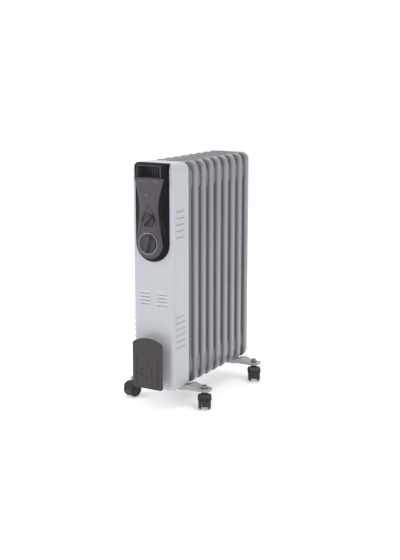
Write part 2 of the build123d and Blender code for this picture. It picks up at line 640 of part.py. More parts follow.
# ---------------------------------------------------------------- legs
def leg_profile(drop):
    """The bracket's side view in X and Z, with its top lowered by drop."""
    crest_x, crest_z = LEG_CREST
    wing_x, wing_low = LEG_WING_SKIRT
    tip = LEG_TIP_X - drop
    pad_x = STEM_X - 12
    top = [(-tip, PAD_TOP - drop), (-pad_x, PAD_TOP - drop), (-crest_x, crest_z - drop),
           (-46, LEG_ROOT_TOP - drop), (46, LEG_ROOT_TOP - drop), (crest_x, crest_z - drop),
           (pad_x, PAD_TOP - drop), (tip, PAD_TOP - drop)]
    bottom = [(tip, LEG_TIP_SKIRT - drop), (wing_x, wing_low - drop), (46, LEG_SKIRT - drop),
              (-46, LEG_SKIRT - drop), (-wing_x, wing_low - drop), (-tip, LEG_TIP_SKIRT - drop)]
    outline = make_face(Polyline(*top, *bottom, top[0]))
    bends = [v for v in outline.vertices() if abs(v.X) < pad_x + 1 and v.Y > LEG_WING_SKIRT[1] + 1]
    return fillet(bends, 6)


def make_leg_bracket(y_mid):
    """Pressed channel across the heater, open underneath, with a pad for a caster at each end."""
    y_front, y_rear = y_mid - LEG_WIDTH / 2, y_mid + LEG_WIDTH / 2
    bracket = slab(leg_profile(0.0), y_front, y_rear)
    tips = bracket.edges().filter_by(Axis.Z).filter_by(lambda e: abs(abs(e.center().X) - LEG_TIP_X) < 0.5)
    bracket = fillet(tips, LEG_TIP_RADIUS)
    hollow = slab(leg_profile(LEG_SHEET), y_front + LEG_SHEET, y_rear - LEG_SHEET)
    tips = hollow.edges().filter_by(Axis.Z)
    tips = tips.filter_by(lambda e: abs(abs(e.center().X) - LEG_TIP_X + LEG_SHEET) < 0.5)
    bracket -= fillet(tips, LEG_TIP_RADIUS - LEG_SHEET)
    for x in (-STEM_X, STEM_X):
        bracket -= rod_z(STEM_RADIUS + 0.2, LEG_SKIRT, PAD_TOP + 1, x, y_mid)
    for x in (-U_BOLT_X, U_BOLT_X):
        bracket -= rod_z(U_BOLT_RADIUS + 0.3, LEG_SKIRT, LEG_ROOT_TOP + 1, x, y_mid + U_BOLT_SHIFT)
    return bracket


def make_u_bolt(y_mid):
    """Bolt that hooks over a bottom neck and comes down through the bracket."""
    y = y_mid + U_BOLT_SHIFT
    path = Line((-U_BOLT_X, y, U_BOLT_LOW), (-U_BOLT_X, y, HEADER_LOW))
    path += ThreePointArc((-U_BOLT_X, y, HEADER_LOW), (0, y, HEADER_LOW + U_BOLT_X),
                          (U_BOLT_X, y, HEADER_LOW))
    path += Line((U_BOLT_X, y, HEADER_LOW), (U_BOLT_X, y, U_BOLT_LOW))
    return sweep(Plane(origin=(-U_BOLT_X, y, U_BOLT_LOW), z_dir=(0, 0, 1)) * Circle(U_BOLT_RADIUS), path)


def make_wing_nuts():
    """A wing nut and washer on each leg of each U-bolt, under the bracket's top."""
    nuts = []
    seat = LEG_ROOT_TOP - LEG_SHEET
    for y in (FRONT_LEG_Y + U_BOLT_SHIFT, REAR_LEG_Y + U_BOLT_SHIFT):
        for x in (-U_BOLT_X, U_BOLT_X):
            nut = rod_z(7, seat - 1.2, seat, x, y) + rod_z(4.6, seat - 9, seat - 1.2, x, y)
            wing = Pos(x, y, seat - 10) * Box(24, 1.8, 8)
            wing = fillet(wing.edges().filter_by(Axis.Y), 3.2)
            nut = nut + wing - rod_z(U_BOLT_RADIUS, seat - 16, seat + 1, x, y)
            nuts.append(nut)
    return group(nuts)


# ---------------------------------------------------------------- casters
def caster_place(name):
    """Where a caster's own frame goes: origin under the stem, +X towards the axle."""
    side, y, heading = CASTERS[name]
    return Pos(side * STEM_X, y, 0) * Rot(0, 0, heading)


def sector(radius, start, end):
    """A pie slice about the axle in the caster's X and Z, from one angle to another in degrees."""
    mid = (start + end) / 2
    points = [(radius * cos(radians(a)), radius * sin(radians(a))) for a in (start, mid, end)]
    edge = Line((0, 0), points[0]) + ThreePointArc(*points) + Line(points[2], (0, 0))
    return Pos(TRAIL, WHEEL_RADIUS) * make_face(edge)


def wheel_form(grow):
    """Outside shape of the wheel on the +Y side, about the axle, made larger all round by grow."""
    outer = WEB_WIDTH / 2 + WHEEL_PLAY + WHEEL_WIDTH + grow
    form = rod_y(WHEEL_RADIUS + grow, WEB_WIDTH / 2 + WHEEL_PLAY - grow, outer, 0, 0)
    return fillet(edges_at_y(form, outer), WHEEL_DOME + grow)


def make_caster_hood(name):
    """Caster body: a web between the wheels, a socket for the stem and a hood over both wheels."""
    half = WEB_WIDTH / 2
    web = Pos(TRAIL, WHEEL_RADIUS) * Circle(WHEEL_RADIUS - 1)
    web -= Pos(TRAIL, WEB_BOTTOM - 15) * Rectangle(60, 30)
    web += Pos(TRAIL / 2 - 2, (HOOD_TOP + 18) / 2) * Rectangle(TRAIL + 2, HOOD_TOP - 18)
    body = slab(web, -half, half)
    cover = slab(sector(HOOD_OUTER, HOOD_START, HOOD_END), -HOOD_WIDTH / 2, HOOD_WIDTH / 2)
    cover = fillet(cover.edges().filter_by(GeomType.CIRCLE), HOOD_ROUND)
    cover -= rod_y(HOOD_WINDOW, -HOOD_WIDTH, HOOD_WIDTH, TRAIL, WHEEL_RADIUS)
    for turn in (0, 180):
        cover -= Pos(TRAIL, 0, WHEEL_RADIUS) * Rot(0, 0, turn) * wheel_form(HOOD_GAP)
    body += cover
    body += rod_z(half, 18, HOOD_TOP, 0, 0)
    body -= rod_z(STEM_RADIUS + 0.1, 22, HOOD_TOP + 1, 0, 0)
    body -= rod_y(AXLE_RADIUS, -20, 20, TRAIL, WHEEL_RADIUS)
    return caster_place(name) * body


def make_caster_wheel(name, side):
    """One wheel of the pair, with a domed outer face and a blind bore for the axle."""
    inner = WEB_WIDTH / 2 + WHEEL_PLAY
    outer = inner + WHEEL_WIDTH
    wheel = wheel_form(0.0)
    wheel = fillet(edges_at_y(wheel, inner), 0.8)
    wheel -= slab(Circle(12.5) - Circle(6), outer - 1.2, outer + 1)
    wheel -= rod_y(AXLE_RADIUS + RUNNING_GAP, inner - 1, outer - 1.5, 0, 0)
    if side < 0:
        wheel = Rot(0, 0, 180) * wheel
    return caster_place(name) * Pos(TRAIL, 0, WHEEL_RADIUS) * wheel


def make_caster_axle(name):
    """Steel axle held in the web; a wheel turns on each end."""
    reach = WEB_WIDTH / 2 + WHEEL_WIDTH - 1.8
    return caster_place(name) * rod_y(AXLE_RADIUS, -reach, reach, TRAIL, WHEEL_RADIUS)


def make_caster_stems():
    """Threaded stems fixed in the brackets; each caster turns on the plain lower end."""
    stems = []
    for side, y, _ in CASTERS.values():
        x = side * STEM_X
        stems.append(rod_z(STEM_RADIUS, STEM_LOW, STEM_HIGH, x, y)
                     + rod_z(COLLAR_RADIUS, COLLAR_LOW, PAD_TOP - LEG_SHEET, x, y))
    return group(stems)


def make_caster_nuts():
    """Hexagon nuts on the stems."""
    nuts = []
    for side, y, _ in CASTERS.values():
        hexagon = extrude(RegularPolygon(7.5, 6) - Circle(STEM_RADIUS), NUT_HEIGHT)
        nuts.append(Pos(side * STEM_X, y, NUT_LOW) * hexagon)
    return group(nuts)


def make_caster_washers():
    """Flat washers between the nuts and the brackets."""
    washers = []
    for side, y, _ in CASTERS.values():
        ring = extrude(Circle(9.0) - Circle(STEM_RADIUS + 0.2), NUT_LOW - PAD_TOP)
        washers.append(Pos(side * STEM_X, y, PAD_TOP) * ring)
    return group(washers)


# ---------------------------------------------------------------- write every node
def main():
    os.makedirs("parts", exist_ok=True)
    for index in range(FIN_COUNT):
        save(make_fin(index), f"fin_{index + 1}")
    save(make_element_gasket(), "element_gasket")
    save(make_element_flange(), "element_flange")
    save(make_element_tubes(), "element_tubes")
    save(make_housing_cover(), "housing_cover")
    save(make_back_plate(), "housing_back_plate")
    save(make_housing_screws(), "housing_screws")
    save(make_control_panel(), "control_panel")
    save(make_fascia(), "panel_fascia")
    save(make_grip(), "hand_grip")
    save(make_ring(), "thermostat_ring")
    save(make_lens(), "indicator_lens")
    save(make_lamp(), "indicator_lamp")
    save(make_panel_screws(), "panel_and_wrap_screws")
    save(make_knob(SELECTOR_Z, SELECTOR_RADIUS, SELECTOR_TILT), "selector_knob")
    save(make_knob(THERMOSTAT_Z, THERMOSTAT_RADIUS, THERMOSTAT_TILT), "thermostat_knob")
    save(make_control_body(SELECTOR_Z, 32, 28), "selector_switch")
    save(make_control_body(THERMOSTAT_Z, 38, 30), "thermostat_body")
    save(make_shaft(SELECTOR_Z), "selector_shaft")
    save(make_shaft(THERMOSTAT_Z), "thermostat_shaft")
    save(make_terminal_block(), "terminal_block")
    save(make_thermal_cutout(), "thermal_cutout")
    save(make_wires(), "internal_wires")
    save(make_wrap_core(), "cord_wrap_core")
    save(make_wrap_plate(), "cord_wrap_plate")
    save(make_gland(), "cord_gland")
    save(make_leg_bracket(FRONT_LEG_Y), "front_leg_bracket")
    save(make_leg_bracket(REAR_LEG_Y), "rear_leg_bracket")
    save(make_u_bolt(FRONT_LEG_Y), "front_u_bolt")
    save(make_u_bolt(REAR_LEG_Y), "rear_u_bolt")
    save(make_wing_nuts(), "wing_nuts")
    save(make_caster_stems(), "caster_stems")
    save(make_caster_nuts(), "caster_nuts")
    save(make_caster_washers(), "caster_washers")
    for name in CASTERS:
        save(make_caster_hood(name), f"caster_hood_{name}")
        save(make_caster_axle(name), f"caster_axle_{name}")
        save(make_caster_wheel(name, 1), f"caster_wheel_{name}_a")
        save(make_caster_wheel(name, -1), f"caster_wheel_{name}_b")


main()
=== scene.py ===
"""Looks for the oil filled radiator heater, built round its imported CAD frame. Metres, +Z up."""
import json
import math

import bmesh
import bpy
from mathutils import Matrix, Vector


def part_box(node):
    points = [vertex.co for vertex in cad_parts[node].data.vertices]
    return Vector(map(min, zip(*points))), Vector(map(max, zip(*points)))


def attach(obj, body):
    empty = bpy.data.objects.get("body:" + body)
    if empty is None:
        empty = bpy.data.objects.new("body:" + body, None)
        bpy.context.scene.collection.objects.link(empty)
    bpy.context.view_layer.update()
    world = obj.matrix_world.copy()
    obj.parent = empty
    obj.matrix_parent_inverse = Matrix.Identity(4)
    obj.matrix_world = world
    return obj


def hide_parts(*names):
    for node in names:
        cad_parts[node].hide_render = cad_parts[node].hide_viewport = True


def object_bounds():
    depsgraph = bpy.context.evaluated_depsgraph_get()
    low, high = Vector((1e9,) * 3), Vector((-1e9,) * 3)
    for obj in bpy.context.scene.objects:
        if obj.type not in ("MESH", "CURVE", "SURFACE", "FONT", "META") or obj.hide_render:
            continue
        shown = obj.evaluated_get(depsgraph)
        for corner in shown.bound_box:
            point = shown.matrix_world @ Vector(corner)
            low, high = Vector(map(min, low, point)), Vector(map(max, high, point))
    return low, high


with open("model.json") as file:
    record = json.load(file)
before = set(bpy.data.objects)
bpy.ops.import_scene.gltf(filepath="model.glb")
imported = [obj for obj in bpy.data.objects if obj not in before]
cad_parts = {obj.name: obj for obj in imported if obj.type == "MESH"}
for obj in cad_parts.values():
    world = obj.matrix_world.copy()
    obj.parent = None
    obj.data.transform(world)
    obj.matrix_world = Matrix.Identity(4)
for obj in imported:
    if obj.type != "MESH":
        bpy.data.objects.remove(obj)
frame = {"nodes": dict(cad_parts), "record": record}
CAD_LOW, CAD_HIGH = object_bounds()
NODES = frame["nodes"]

# ---------------------------------------------------------------- sizes read from the frame
FIN_NAMES = [f"fin_{number}" for number in range(1, 10)]
PANEL_LOW, PANEL_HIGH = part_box("control_panel")
FASCIA_LOW, FASCIA_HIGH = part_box("panel_fascia")
GRIP_LOW, GRIP_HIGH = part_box("hand_grip")
RING_LOW, RING_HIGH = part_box("thermostat_ring")
HOUSING_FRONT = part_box("cord_wrap_core")[1].y       # Y of the housing's flat front face
THERMOSTAT_Z = (RING_LOW.z + RING_HIGH.z) / 2


# ---------------------------------------------------------------- materials
DRIFT_SCALE = 9.0             # noise scale of the slow colour drift
WEAR_SCALE = 45.0             # noise scale of the uneven gloss
BUMP_HEIGHT = 0.12            # height of a bump, as a share of its size


def shader_tree(name):
    """A new node material, its node tree and its Principled shader."""
    material = bpy.data.materials.new(name)
    material.use_nodes = True
    tree = material.node_tree
    shader = tree.nodes["Principled BSDF"]
    return material, tree, shader


def link(tree, start, start_socket, end, end_socket):
    tree.links.new(start.outputs[start_socket], end.inputs[end_socket])


def noise_node(tree, coords, scale, detail=3.0, roughness=0.55):
    node = tree.nodes.new("ShaderNodeTexNoise")
    node.inputs["Scale"].default_value = scale
    node.inputs["Detail"].default_value = detail
    node.inputs["Roughness"].default_value = roughness
    link(tree, coords, "Object", node, "Vector")
    return node


def ramp_node(tree, source, socket, low, high, dark, light):
    """A ramp from dark at low to light at high."""
    node = tree.nodes.new("ShaderNodeValToRGB")
    node.color_ramp.elements[0].position = low
    node.color_ramp.elements[1].position = high
    node.color_ramp.elements[0].color = (*dark, 1.0)
    node.color_ramp.elements[1].color = (*light, 1.0)
    link(tree, source, socket, node, "Fac")
    return node


def coated(name, colour, roughness, grain, bump, mottle=0.06, gloss_spread=0.08, **sockets):
    """A painted or moulded finish: slow colour drift, uneven gloss and a fine bumpy grain.

    grain is the size of a bump in metres, and bump how strongly it shows.
    """
    material, tree, shader = shader_tree(name)
    coords = tree.nodes.new("ShaderNodeTexCoord")
    drift = noise_node(tree, coords, DRIFT_SCALE, detail=4.0)
    darker = tuple(channel * (1 - mottle) for channel in colour)
    lighter = tuple(min(1.0, channel * (1 + mottle)) for channel in colour)
    tint = ramp_node(tree, drift, "Fac", 0.3, 0.7, darker, lighter)
    link(tree, tint, "Color", shader, "Base Color")
    wear = noise_node(tree, coords, WEAR_SCALE, detail=5.0)
    gloss = tree.nodes.new("ShaderNodeMapRange")
    gloss.inputs["To Min"].default_value = roughness - gloss_spread
    gloss.inputs["To Max"].default_value = roughness + gloss_spread
    link(tree, wear, "Fac", gloss, "Value")
    link(tree, gloss, "Result", shader, "Roughness")
    peel = noise_node(tree, coords, 1.0 / grain, detail=2.0)
    bumps = tree.nodes.new("ShaderNodeBump")
    bumps.inputs["Strength"].default_value = bump
    bumps.inputs["Distance"].default_value = grain * BUMP_HEIGHT
    link(tree, peel, "Fac", bumps, "Height")
    link(tree, bumps, "Normal", shader, "Normal")
    for socket, value in sockets.items():
        shader.inputs[socket.replace("_", " ")].default_value = value
    return material


def plated(name, colour, roughness, grain):
    """Metal plate, with fine uneven roughness and a slight bump."""
    return coated(name, colour, roughness, grain, 0.25, mottle=0.12, gloss_spread=0.1, Metallic=1.0)


FIN_PAINT = coated("fin_paint", (0.180, 0.187, 0.206), 0.33, 0.0016, 0.04, Coat_Weight=0.5)
HOUSING_PAINT = coated("housing_paint", (0.44, 0.453, 0.485), 0.36, 0.0016, 0.08,
                       mottle=0.025, Coat_Weight=0.25)
LEG_PAINT = coated("leg_paint", (0.36, 0.37, 0.385), 0.38, 0.0018, 0.2, Coat_Weight=0.2)
ZINC = plated("zinc_steel", (0.26, 0.26, 0.25), 0.38, 0.0012)
SILVER = plated("silver_trim", (0.24, 0.24, 0.26), 0.36, 0.0010)
RUBBER = coated("rubber", (0.03, 0.03, 0.032), 0.62, 0.0008, 0.4)
PANEL_GLOSS = coated("panel_gloss", (0.006, 0.005, 0.006), 0.34, 0.0030, 0.03,
                     Specular_IOR_Level=0.12)
FASCIA_SATIN = coated("fascia_satin", (0.056, 0.046, 0.061), 0.42, 0.0006, 0.45)
KNOB_PLASTIC = coated("knob_plastic", (0.038, 0.033, 0.040), 0.40, 0.0006, 0.35)
WRAP_PLASTIC = coated("wrap_plastic", (0.028, 0.022, 0.026), 0.45, 0.0007, 0.5)
CASTER_PLASTIC = coated("caster_plastic", (0.011, 0.009, 0.010), 0.38, 0.0007, 0.35)
MOULDING = coated("control_moulding", (0.62, 0.60, 0.52), 0.5, 0.0009, 0.3)
RED_LENS = coated("red_lens", (0.16, 0.035, 0.045), 0.22, 0.0012, 0.15, Coat_Weight=0.5)
LAMP_GLASS = coated("lamp_glass", (0.8, 0.55, 0.4), 0.1, 0.002, 0.05, Transmission_Weight=0.8)

SLOT_FINISH = {
    "fin_paint": FIN_PAINT,
    "housing_paint": HOUSING_PAINT,
    "leg_paint": LEG_PAINT,
    "zinc_steel": ZINC,
    "rubber": RUBBER,
    "panel_gloss": PANEL_GLOSS,
    "fascia_satin": FASCIA_SATIN,
    "wrap_plastic": WRAP_PLASTIC,
    "knob_plastic": KNOB_PLASTIC,
    "silver_trim": SILVER,
    "red_lens": RED_LENS,
    "lamp_glass": LAMP_GLASS,
    "control_moulding": MOULDING,
    "caster_plastic": CASTER_PLASTIC,
}


def finish_frame():
    """Every CAD node takes the detailed material of its slot."""
    for part in frame["record"]["subparts"]:
        node = NODES[part["node"]]
        node.data.materials.clear()
        node.data.materials.append(SLOT_FINISH[part["material_slot"]])


# ---------------------------------------------------------------- mesh helpers
SMOOTH_ANGLE = 35.0           # degrees: edges sharper than this stay crisp
WELD_DISTANCE = 1e-6
SLIVER_LENGTH = 1e-7


def new_piece(name, points, faces, material, body, replaces=(),
              smooth_angle=SMOOTH_ANGLE):
    """A finished piece from points and faces: welded, smooth shaded, riding on its body."""
    mesh = bpy.data.meshes.new(name)
    mesh.from_pydata([tuple(p) for p in points], [], faces)
    work = bmesh.new()
    work.from_mesh(mesh)
    bmesh.ops.remove_doubles(work, verts=work.verts, dist=WELD_DISTANCE)
    bmesh.ops.dissolve_degenerate(work, edges=work.edges, dist=SLIVER_LENGTH)
    bmesh.ops.recalc_face_normals(work, faces=work.faces)
    work.to_mesh(mesh)
    work.free()
    piece = bpy.data.objects.new(name, mesh)
    bpy.context.collection.objects.link(piece)
    mesh.materials.append(material)
    mesh.shade_smooth()
    mesh.set_sharp_from_angle(angle=math.radians(smooth_angle))
    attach(piece, body)
    if replaces:
        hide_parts(*replaces)
    return piece


def bridge(faces, loop_a, loop_b):
    """Quads between two closed loops of point numbers."""
    count = len(loop_a)
    for i in range(count):
        j = (i + 1) % count
        faces.append((loop_a[i], loop_a[j], loop_b[j], loop_b[i]))


def stack_loops(loops, cap_first=False, cap_last=False):
    """Points and faces of a tube through the loops, each a list of points of the same length."""
    points, faces, numbers = [], [], []
    for loop in loops:
        numbers.append(range(len(points), len(points) + len(loop)))
        points.extend(loop)
    for first, second in zip(numbers, numbers[1:]):
        bridge(faces, first, second)
    if cap_first:
        faces.append(tuple(reversed(numbers[0])))
    if cap_last:
        faces.append(tuple(numbers[-1]))
    return points, faces


def smooth_step(value):
    value = min(1.0, max(0.0, value))
    return value * value * (3 - 2 * value)


def arc_steps(count, start=0.0, end=90.0):
    """Angles in radians, evenly spaced from start to end."""
    return [math.radians(start + (end - start) * i / count) for i in range(count + 1)]


# ---------------------------------------------------------------- fins
FIN_CORNER = 0.020
FIN_NOSE = 0.0042             # radius of the rounded edge between face and fold
FIN_FOLD = 0.0206
FIN_LEAN = 0.0014             # the fold leans in by this much
FIN_HEM = 0.0011              # size of the rolled edge at the fold's end
FIN_SHEET = 0.0010            # thickness of the sheet
FIN_SMOOTH = 50.0             # degrees, for the softer edges of a pressing
HEADER_RISE = 0.0136          # how far the header bulges out of the plate
HEADER_HALF = (0.0555, 0.045)
HEADER_CORNER = 0.036
HEADER_SLOPE = 0.0115         # width of the header's sloping side
HEADER_INSET = 0.048          # from the fin's end to the header's middle
CHANNEL_X = (-0.0396, -0.0132, 0.0132, 0.0396)
CHANNEL_HALF = 0.0105
CHANNEL_RISE = 0.0062
CHANNEL_POWER = 2.6           # over 2, so a channel's top is flatter than an ellipse
COLUMN_STEP = 0.034           # as a share of half the width
HEADER_ROW_STEP = 0.0028
CHANNEL_ROW_STEP = 0.02
NECK_RADIUS = 0.020
NECK_CORE = NECK_RADIUS - 0.006       # inner radius, hidden against the fins
NECK_FLARE = NECK_RADIUS + 0.003
NECK_ROOT = NECK_RADIUS + 0.0008
NECK_BEAD = NECK_RADIUS + 0.0006
FLARE_LENGTH = 0.003
BEAD_HALF = 0.0008
NECK_SINK = 0.0015            # how far a neck's end runs into the header
NECK_SEGMENTS = 48

FIN_PITCH = (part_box("fin_9")[0].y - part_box("fin_2")[0].y) / 7
LAST_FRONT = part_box("fin_9")[1].y - FIN_FOLD          # Y of the last fin's face
FIN_PLATES = [LAST_FRONT - (8 - index) * FIN_PITCH for index in range(9)]
FIN_PLATES[0] += FIN_SHEET


def rounded_box_depth(x, z, half_x, half_z, corner):
    """How far a point is inside a rounded rectangle; negative outside it."""
    dx = abs(x) - (half_x - corner)
    dz = abs(z) - (half_z - corner)
    outside = math.hypot(max(dx, 0.0), max(dz, 0.0))
    inside = min(max(dx, dz), 0.0)
    return corner - outside - inside


def fin_rise(x, z, low, high):
    """Height of the pressed oil space above the plate, at a point of the fin."""
    best = 0.0
    for header_z in (low + HEADER_INSET, high - HEADER_INSET):
        depth = rounded_box_depth(x, z - header_z, *HEADER_HALF, HEADER_CORNER)
        best = max(best, HEADER_RISE * smooth_step(depth / HEADER_SLOPE))
    if low + HEADER_INSET < z < high - HEADER_INSET:
        for channel_x in CHANNEL_X:
            across = abs(x - channel_x) / CHANNEL_HALF
            if across < 1.0:
                best = max(best, CHANNEL_RISE * math.sqrt(1 - across ** CHANNEL_POWER))
    return best


def spread_count(start, end, count):
    """Evenly spaced values from start to end, in count steps."""
    return [start + (end - start) * i / count for i in range(count + 1)]


def spread(start, end, step):
    """Evenly spaced values from start to end, about step apart."""
    return spread_count(start, end, max(1, round((end - start) / step)))


def fin_half_width(distance, half, corner):
    """Half the outline's width at this distance from its top or bottom end."""
    if distance >= corner:
        return half
    return half - corner + math.sqrt(max(0.0, corner ** 2 - (corner - distance) ** 2))


def fin_rows(low, high):
    """Heights of a fin's rows: close together over the headers and the corners."""
    reach = 2 * HEADER_INSET + 0.004
    rounded = [FIN_CORNER * (1 - math.cos(angle)) for angle in arc_steps(9)]
    bottom = [low + d for d in rounded] + spread(low + FIN_CORNER, low + reach, HEADER_ROW_STEP)[1:]
    top = [high - (z - low) for z in reversed(bottom)]
    return bottom + spread(bottom[-1], top[0], CHANNEL_ROW_STEP)[1:-1] + top


def fin_shape(low, high, width, nose_y, facing):
    """Points and faces of one fin.

    Its face is at nose_y, and its edge folds towards facing, which is +1 or -1.
    """
    half = width / 2
    columns = spread(-1.0, 1.0, COLUMN_STEP)
    rows = fin_rows(low, high)
    lines = []
    for z in rows:
        distance = min(z - low, high - z)
        lines.append([(s * fin_half_width(distance, half, FIN_CORNER), z) for s in columns])
    outline = (lines[0] + [line[-1] for line in lines[1:-1]] + list(reversed(lines[-1]))
               + [line[0] for line in reversed(lines[1:-1])])
    points, faces = [], []

    def grid(inset, y_plate, bulge):
        """A rounded-rectangle grid of points; returns its numbers, row by row."""
        numbers = []
        for z in rows:
            distance = min(z - low, high - z)
            row_half = fin_half_width(distance, half, FIN_CORNER)
            scale = (row_half - inset) / row_half
            line = []
            for s in columns:
                x = s * row_half * scale
                z_in = min(max(z, low + inset), high - inset)
                points.append((x, y_plate + bulge * fin_rise(x, z_in, low, high), z_in))
                line.append(len(points) - 1)
            numbers.append(line)
        for lower, upper in zip(numbers, numbers[1:]):
            for i in range(len(columns) - 1):
                faces.append((lower[i], lower[i + 1], upper[i + 1], upper[i]))
        return numbers

    def rim_of(numbers):
        """The grid's outer loop, once round."""
        bottom, top = numbers[0], numbers[-1]
        right = [line[-1] for line in numbers[1:-1]]
        left = [line[0] for line in reversed(numbers[1:-1])]
        return bottom + right + list(reversed(top)) + left

    def edge_loop(inset, y):
        """The outline shrunk by inset, at this Y, matched point for point with a grid's rim."""
        start = len(points)
        centre_x = half - FIN_CORNER
        centre_low, centre_high = low + FIN_CORNER, high - FIN_CORNER
        for x, z in outline:
            cx = min(max(x, -centre_x), centre_x)
            cz = min(max(z, centre_low), centre_high)
            away = Vector((x - cx, z - cz))
            scale = (away.length - inset) / away.length
            points.append((cx + away.x * scale, y, cz + away.y * scale))
        return list(range(start, len(points)))

    front = grid(FIN_NOSE, nose_y, -facing)
    loop = rim_of(front)
    for angle in arc_steps(6)[1:]:
        inset = FIN_NOSE * (1 - math.sin(angle))
        y = nose_y + facing * FIN_NOSE * (1 - math.cos(angle))
        following = edge_loop(inset, y)
        bridge(faces, loop, following)
        loop = following
    fold_profile = (
        (FIN_LEAN * 0.5, FIN_FOLD * 0.5),
        (FIN_LEAN, FIN_FOLD - FIN_HEM),
        (FIN_LEAN + FIN_HEM * 0.35, FIN_FOLD - FIN_HEM * 0.2),
        (FIN_LEAN + FIN_HEM, FIN_FOLD),
        (FIN_LEAN + 1.65 * FIN_HEM, FIN_FOLD - FIN_HEM * 0.2),
        (FIN_LEAN + 2 * FIN_HEM, FIN_FOLD - FIN_HEM),
        (FIN_LEAN + 2 * FIN_HEM, FIN_FOLD - 3 * FIN_HEM),
        (FIN_LEAN + FIN_SHEET, FIN_FOLD - 4 * FIN_HEM),
        (FIN_NOSE * 0.5, FIN_NOSE),
    )
    for inset, reach in fold_profile:
        following = edge_loop(inset, nose_y + facing * reach)
        bridge(faces, loop, following)
        loop = following
    back = grid(FIN_NOSE, nose_y + facing * FIN_SHEET, facing)
    bridge(faces, loop, rim_of(back))
    return points, faces


def make_fins():
    """Nine pressed fins; the first one's edge folds forward, inside the housing."""
    for index, name in enumerate(FIN_NAMES):
        low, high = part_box(name)
        facing = -1 if index == 0 else 1
        plate_y = FIN_PLATES[index]
        points, faces = fin_shape(low.z, high.z, high.x - low.x, plate_y, facing)
        new_piece(f"{name}_pressing", points, faces, FIN_PAINT, "root", [name],
                  FIN_SMOOTH)


def lathe(name, profile, centre, axis, material, body):
    """A turned piece: profile is a list of (radius, distance along the axis)."""
    axis = Vector(axis).normalized()
    side = axis.orthogonal().normalized()
    other = axis.cross(side)
    angles = [2 * math.pi * i / NECK_SEGMENTS for i in range(NECK_SEGMENTS)]
    loops = []
    for radius, along in profile:
        loops.append([centre + axis * along + (side * math.cos(a) + other * math.sin(a)) * radius
                      for a in angles])
    points, faces = stack_loops(loops, cap_first=True, cap_last=True)
    new_piece(name, points, faces, material, body)


def make_necks():
    """Flared necks with a weld bead, between each fin and the next, at the top and the bottom."""
    for index in range(8):
        rear_face = LAST_FRONT - (7 - index) * FIN_PITCH
        middle_y = rear_face + FIN_SHEET / 2 - FIN_PITCH / 2
        reach = FIN_PITCH / 2 - HEADER_RISE + NECK_SINK
        low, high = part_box(FIN_NAMES[index + 1])
        profile = [(NECK_CORE, -reach), (NECK_FLARE, -reach), (NECK_ROOT, -reach + FLARE_LENGTH),
                   (NECK_RADIUS, -reach * 0.3), (NECK_BEAD, -BEAD_HALF), (NECK_BEAD, BEAD_HALF),
                   (NECK_RADIUS, reach * 0.3), (NECK_ROOT, reach - FLARE_LENGTH),
                   (NECK_FLARE, reach), (NECK_CORE, reach)]
        for end, z in (("low", low.z + HEADER_INSET), ("high", high.z - HEADER_INSET)):
            lathe(f"neck_{index + 1}_{end}", profile, Vector((0, middle_y, z)), (0, 1, 0),
                  FIN_PAINT, "root")


# ---------------------------------------------------------------- control panel
PANEL_HALF = (PANEL_HIGH.x - PANEL_LOW.x) / 2
PANEL_ROUND_Z = PANEL_LOW.z + PANEL_HALF            # centre of the round lower end
PANEL_CORNER = 0.007
PANEL_FACE = PANEL_LOW.y                            # Y of the flat front behind the fascia
FASCIA_FACE = FASCIA_LOW.y
FASCIA_ROUND = 0.038                                # radius of the hourglass's lower end
FASCIA_ARC_END = 12.0                               # degrees past level where that arc ends
WAIST_HALF, WAIST_Z = 0.0262, 0.522
SHOULDER_HALF = 0.0425
SIDE_STEPS = 44
ARC_STEPS = 30
TOP_STEPS = 12
CORNER_STEPS = 4
PANEL_SINK = 0.0105                                 # how far its edge runs into the housing
RIM_DEPTH = 0.0034
SLOPE_STEPS = 14
SLOPE_POWER = 1.45                                  # over 1, so the slope is hollow
GRIP_MARGIN = 0.0015
GRIP_CUT_CORNER = 0.004


def hermite(t, start, end, slope_start, slope_end):
    """A cubic from start to end with these slopes, for t from 0 to 1."""
    t2, t3 = t * t, t * t * t
    return ((2 * t3 - 3 * t2 + 1) * start + (t3 - 2 * t2 + t) * slope_start
            + (3 * t2 - 2 * t3) * end + (t3 - t2) * slope_end)


def mirrored(right):
    """The closed loop of an outline, given its right half from bottom middle to top middle."""
    return right + [(-x, z) for x, z in reversed(right[1:-1])]


def panel_outline(inset):
    """The panel's outline in X and Z, matched point for point with hourglass()."""
    half = PANEL_HALF - inset
    top = PANEL_HIGH.z - inset
    corner = max(PANEL_CORNER - inset, 0.002)
    right = [(half * math.cos(a), PANEL_ROUND_Z + half * math.sin(a))
             for a in arc_steps(ARC_STEPS, -90, 0)]
    right += [(half, z) for z in spread_count(PANEL_ROUND_Z, top - corner, SIDE_STEPS)[1:]]
    right += [(half - corner + corner * math.cos(a), top - corner + corner * math.sin(a))
              for a in arc_steps(CORNER_STEPS)[1:]]
    right += [(half - corner - (half - corner) * i / TOP_STEPS, top)
              for i in range(1, TOP_STEPS + 1)]
    return mirrored(right)


